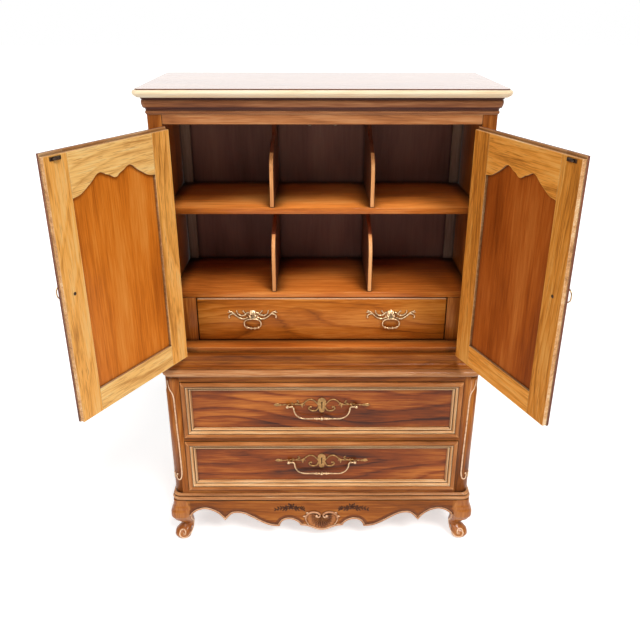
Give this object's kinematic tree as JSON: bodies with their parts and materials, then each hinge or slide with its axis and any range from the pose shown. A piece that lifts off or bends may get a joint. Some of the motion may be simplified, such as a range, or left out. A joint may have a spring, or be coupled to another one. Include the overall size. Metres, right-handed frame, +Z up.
{
  "type": "door chest",
  "caption": "Tall wooden chest with framed doors over divided shelves, an inner drawer, framed lower drawers with bail pulls, a scalloped apron and cabriole feet.",
  "frame": {"origin": "on the floor, in the plane of the upper case's front, midway between the case's sides", "axes": "+Z up, front towards -Y, +X to the right of someone facing the front"},
  "size_m": [1.2823, 0.8919, 1.5357],
  "materials": {
    "fruitwood": "satin lacquered fruitwood, warm brown with darker edges",
    "door_frame_wood": "satin lacquered golden brown, open grain",
    "door_panel_wood": "satin lacquered reddish brown veneer",
    "drawer_front_wood": "satin lacquered brown veneer with long grain",
    "shelf_wood": "satin lacquered orange brown",
    "back_panel_wood": "matt dark brown board",
    "drawer_box_wood": "thin lacquer on pale wood",
    "antique_brass": "antiqued cast brass, worn bright on the edges"
  },
  "bodies": {
    "case": {"top_board": "fruitwood", "cornice": "fruitwood", "top_rail": "fruitwood", "upper_stile_left": "fruitwood", "upper_stile_right": "fruitwood", "upper_side_left": "fruitwood", "upper_side_right": "fruitwood", "drawer_filler_left": "fruitwood", "drawer_filler_right": "fruitwood", "waist_board": "fruitwood", "corner_post_left": "fruitwood", "corner_post_right": "fruitwood", "lower_side_left": "fruitwood", "lower_side_right": "fruitwood", "dust_panel_bottom": "fruitwood", "dust_panel_middle": "fruitwood", "dust_panel_top": "fruitwood", "base_board": "fruitwood", "front_apron": "fruitwood", "side_skirt_left": "fruitwood", "side_skirt_right": "fruitwood", "front_foot_left": "fruitwood", "front_foot_right": "fruitwood", "shelf_upper": "shelf_wood", "shelf_lower": "shelf_wood", "divider_upper_left": "shelf_wood", "divider_upper_right": "shelf_wood", "divider_lower_left": "shelf_wood", "divider_lower_right": "shelf_wood", "upper_floor": "shelf_wood", "upper_back": "back_panel_wood", "lower_back": "back_panel_wood", "hinge_left_upper": "antique_brass", "hinge_left_lower": "antique_brass", "hinge_right_upper": "antique_brass", "hinge_right_lower": "antique_brass"},
    "left_door": {"door_frame_left": "door_frame_wood", "door_panel_left": "door_panel_wood", "door_pull_plate_left": "antique_brass"},
    "right_door": {"door_frame_right": "door_frame_wood", "door_panel_right": "door_panel_wood", "door_pull_plate_right": "antique_brass"},
    "left_door_ring": {"door_ring_left": "antique_brass"},
    "right_door_ring": {"door_ring_right": "antique_brass"},
    "inner_drawer": {"inner_drawer_front": "drawer_front_wood", "inner_drawer_box": "drawer_box_wood", "inner_divider_left": "drawer_box_wood", "inner_divider_right": "drawer_box_wood", "inner_pull_plate_left": "antique_brass", "inner_pull_plate_right": "antique_brass"},
    "left_inner_ring": {"inner_ring_left": "antique_brass"},
    "right_inner_ring": {"inner_ring_right": "antique_brass"},
    "middle_drawer": {"drawer_front_middle": "drawer_front_wood", "drawer_box_middle": "drawer_box_wood", "pull_plate_middle": "antique_brass"},
    "middle_bail": {"bail_middle": "antique_brass"},
    "bottom_drawer": {"drawer_front_bottom": "drawer_front_wood", "drawer_box_bottom": "drawer_box_wood", "pull_plate_bottom": "antique_brass"},
    "bottom_bail": {"bail_bottom": "antique_brass"}
  },
  "joints": [
    {"name": "left_door_hinge", "type": "hinge", "parent": "case", "child": "left_door", "pos_m": [-0.4449, -0.0045, 1.0785], "axis": [0, 0, -1], "range_deg": [-119, 11]},
    {"name": "right_door_hinge", "type": "hinge", "parent": "case", "child": "right_door", "pos_m": [0.4449, -0.0045, 1.0785], "axis": [0, 0, 1], "range_deg": [-111, 19]},
    {"name": "left_door_ring_hinge", "type": "hinge", "parent": "left_door", "child": "left_door_ring", "pos_m": [-0.65383, -0.35563, 1.1047], "axis": [0.4848, 0.8746, 0], "range_deg": [0, 80]},
    {"name": "right_door_ring_hinge", "type": "hinge", "parent": "right_door", "child": "right_door_ring", "pos_m": [0.60293, -0.38129, 1.1047], "axis": [0.3584, -0.9336, 0], "range_deg": [0, 80]},
    {"name": "inner_drawer_slide", "type": "slide", "parent": "case", "child": "inner_drawer", "axis": [0, -1, 0], "range_m": [0, 0.278]},
    {"name": "left_inner_ring_hinge", "type": "hinge", "parent": "inner_drawer", "child": "left_inner_ring", "pos_m": [-0.2235, 0.0635, 0.8167], "axis": [-1, 0, 0], "range_deg": [0, 80]},
    {"name": "right_inner_ring_hinge", "type": "hinge", "parent": "inner_drawer", "child": "right_inner_ring", "pos_m": [0.2235, 0.0635, 0.8167], "axis": [-1, 0, 0], "range_deg": [0, 80]},
    {"name": "middle_drawer_slide", "type": "slide", "parent": "case", "child": "middle_drawer", "axis": [0, -1, 0], "range_m": [0, 0.3]},
    {"name": "middle_bail_hinge", "type": "hinge", "parent": "middle_drawer", "child": "middle_bail", "pos_m": [0, -0.0272, 0.54275], "axis": [-1, 0, 0], "range_deg": [0, 80]},
    {"name": "bottom_drawer_slide", "type": "slide", "parent": "case", "child": "bottom_drawer", "axis": [0, -1, 0], "range_m": [0, 0.3]},
    {"name": "bottom_bail_hinge", "type": "hinge", "parent": "bottom_drawer", "child": "bottom_bail", "pos_m": [0, -0.0272, 0.3237], "axis": [-1, 0, 0], "range_deg": [0, 80]}
  ]
}
